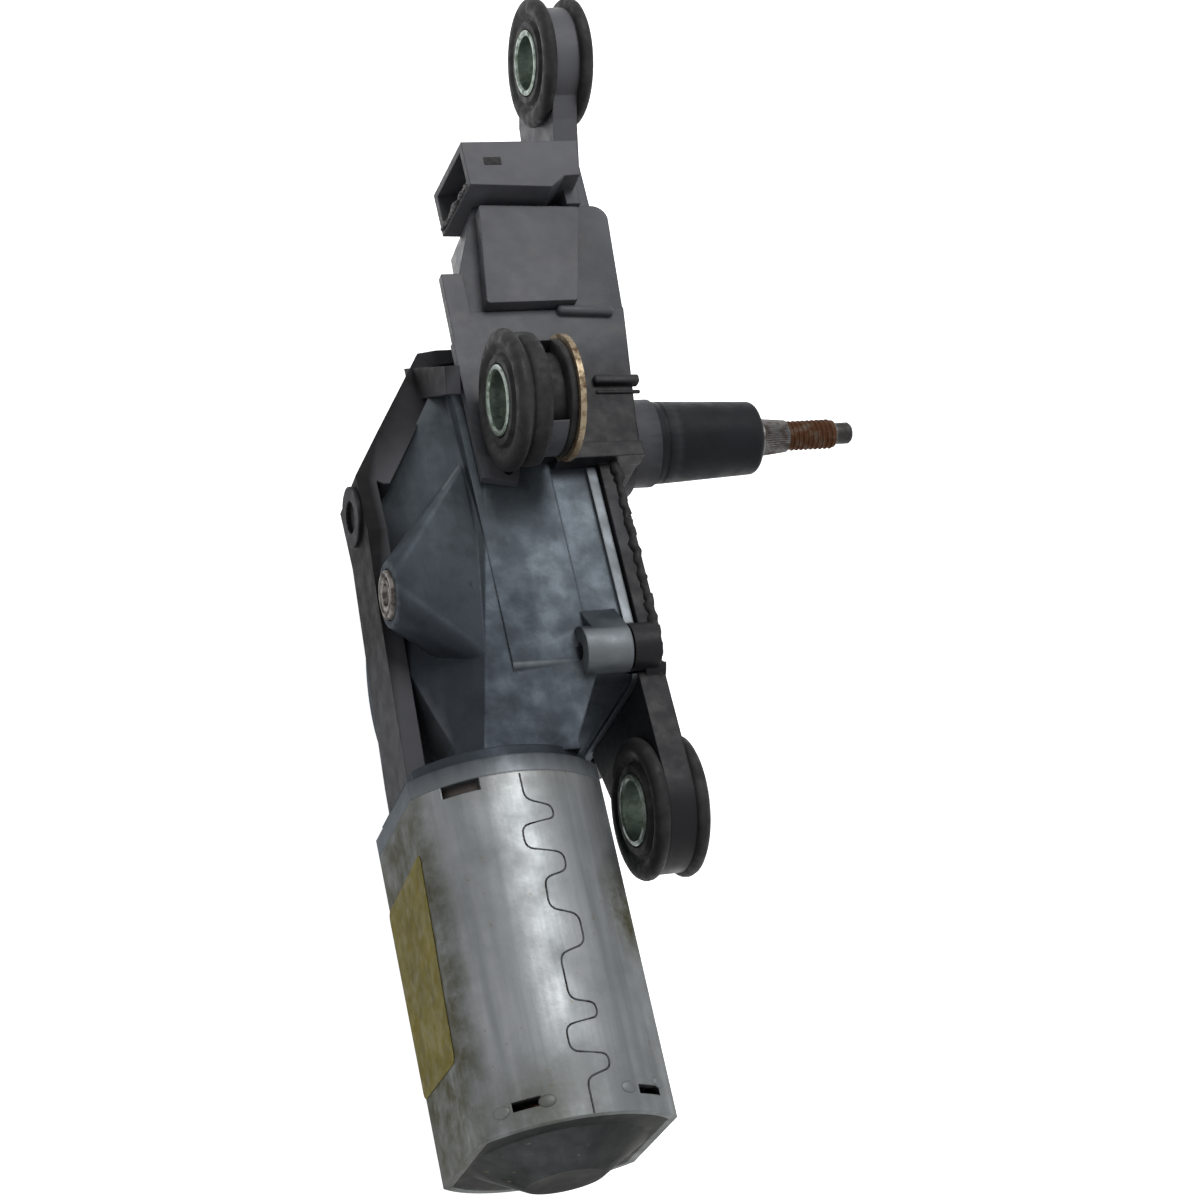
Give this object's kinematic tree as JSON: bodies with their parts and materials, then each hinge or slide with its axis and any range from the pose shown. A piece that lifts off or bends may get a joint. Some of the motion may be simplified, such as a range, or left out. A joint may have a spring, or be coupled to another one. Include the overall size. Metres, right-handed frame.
{
  "type": "rear wiper motor",
  "caption": "Rear wiper motor: canned motor with worm and wheel, a crank-driven sector and pinion that swing the wiper spindle, black cover with control box, socket and rubber-bushed fixings",
  "frame": {"origin": "on the wiper spindle axis, in the plane where the spindle crosses the motor axis height", "axes": "+X runs out along the wiper spindle, +Y runs along the motor away from its closed end, +Z points out of the side with the hooded fixing"},
  "size_m": [0.1049, 0.2323, 0.0891],
  "materials": {
    "galvanised_steel": "zinc-plated sheet, satin with faint streaks",
    "plain_steel": "turned steel, satin",
    "spring_steel": "bright spring steel",
    "rusty_steel": "steel with light rust",
    "cast_aluminium": "die-cast, blue-grey, slightly dulled",
    "black_plastic": "glass-filled moulding, semi-matt",
    "rear_plastic": "moulding, semi-matt",
    "white_plastic": "natural acetal",
    "brown_plastic": "phenolic moulding",
    "green_board": "lacquered glass-epoxy",
    "black_rubber": "moulded rubber, matt",
    "grey_magnet": "sintered ferrite",
    "core_steel": "stacked sheet steel",
    "carbon": "pressed carbon",
    "copper": "lacquered copper",
    "yellow_brass": "rolled brass",
    "sinter_bronze": "oil-filled sintered bronze",
    "zinc_green": "zinc plate with a greenish passivation"
  },
  "bodies": {
    "housing": {"bearing_tube": "plain_steel", "box_lid": "black_plastic", "brush_boxes": "yellow_brass", "brush_card": "brown_plastic", "brush_far": "carbon", "brush_near": "carbon", "brush_springs": "spring_steel", "bush_clip": "spring_steel", "chokes": "core_steel", "connector_pins": "yellow_brass", "control_board": "green_board", "cover_screws": "plain_steel", "cover_seal": "black_rubber", "end_bush": "sinter_bronze", "end_plate": "galvanised_steel", "front_cover": "black_plastic", "gear_housing": "cast_aluminium", "lead_cover": "rear_plastic", "lead_strips": "copper", "link_washer": "plain_steel", "low_bush": "zinc_green", "low_grommet": "black_rubber", "magnet_clips": "spring_steel", "magnet_far": "grey_magnet", "magnet_near": "grey_magnet", "mid_bush": "sinter_bronze", "mid_bush_sleeve": "zinc_green", "mid_grommet": "black_rubber", "mid_washer": "rusty_steel", "motor_can": "galvanised_steel", "rear_screw": "plain_steel", "spindle_bush_low": "sinter_bronze", "spindle_bush_top": "sinter_bronze", "spindle_sleeve": "black_plastic", "spindle_washer": "plain_steel", "thrust_pad": "white_plastic", "top_bush": "zinc_green", "top_grommet": "black_rubber", "wheel_clip": "spring_steel", "wheel_pin": "plain_steel", "worm_end_bush": "sinter_bronze"},
    "armature": {"armature_shaft": "plain_steel", "lamination_core": "core_steel", "armature_windings": "copper", "commutator_hub": "brown_plastic", "commutator_bars": "copper"},
    "wheel": {"worm_wheel": "white_plastic", "crank_pin": "plain_steel", "contact_ring": "copper"},
    "spindle": {"output_spindle": "plain_steel", "output_pinion": "plain_steel", "link_spacer": "plain_steel", "spindle_clip": "spring_steel"},
    "link": {"swing_link": "plain_steel", "sector_pin": "plain_steel"},
    "sector": {"sector_gear": "plain_steel"}
  },
  "joints": [
    {"name": "armature_spin", "type": "hinge", "parent": "housing", "child": "armature", "pos_m": [-0.0236, -0.06, -0.004], "axis": [0, 1, 0], "continuous": true},
    {"name": "wheel_spin", "type": "hinge", "parent": "housing", "child": "wheel", "pos_m": [-0.0236, -0.033, -0.0255], "axis": [1, 0, 0], "continuous": true},
    {"name": "spindle_swing", "type": "hinge", "parent": "housing", "child": "spindle", "pos_m": [0, 0, 0], "axis": [1, 0, 0], "range_deg": [-60, 60]},
    {"name": "link_swing", "type": "hinge", "parent": "housing", "child": "link", "pos_m": [-0.0088, 0, 0], "axis": [1, 0, 0], "range_deg": [-22, 22]},
    {"name": "sector_swing", "type": "hinge", "parent": "link", "child": "sector", "pos_m": [-0.012, -0.00046, -0.01999], "axis": [1, 0, 0], "range_deg": [-32, 32]}
  ],
  "couplings": [
    {"joint": "wheel_spin", "follows": "armature_spin", "ratio": 0.020833},
    {"joint": "link_swing", "follows": "spindle_swing", "ratio": 0.3393},
    {"joint": "sector_swing", "follows": "spindle_swing", "ratio": -0.5139}
  ]
}
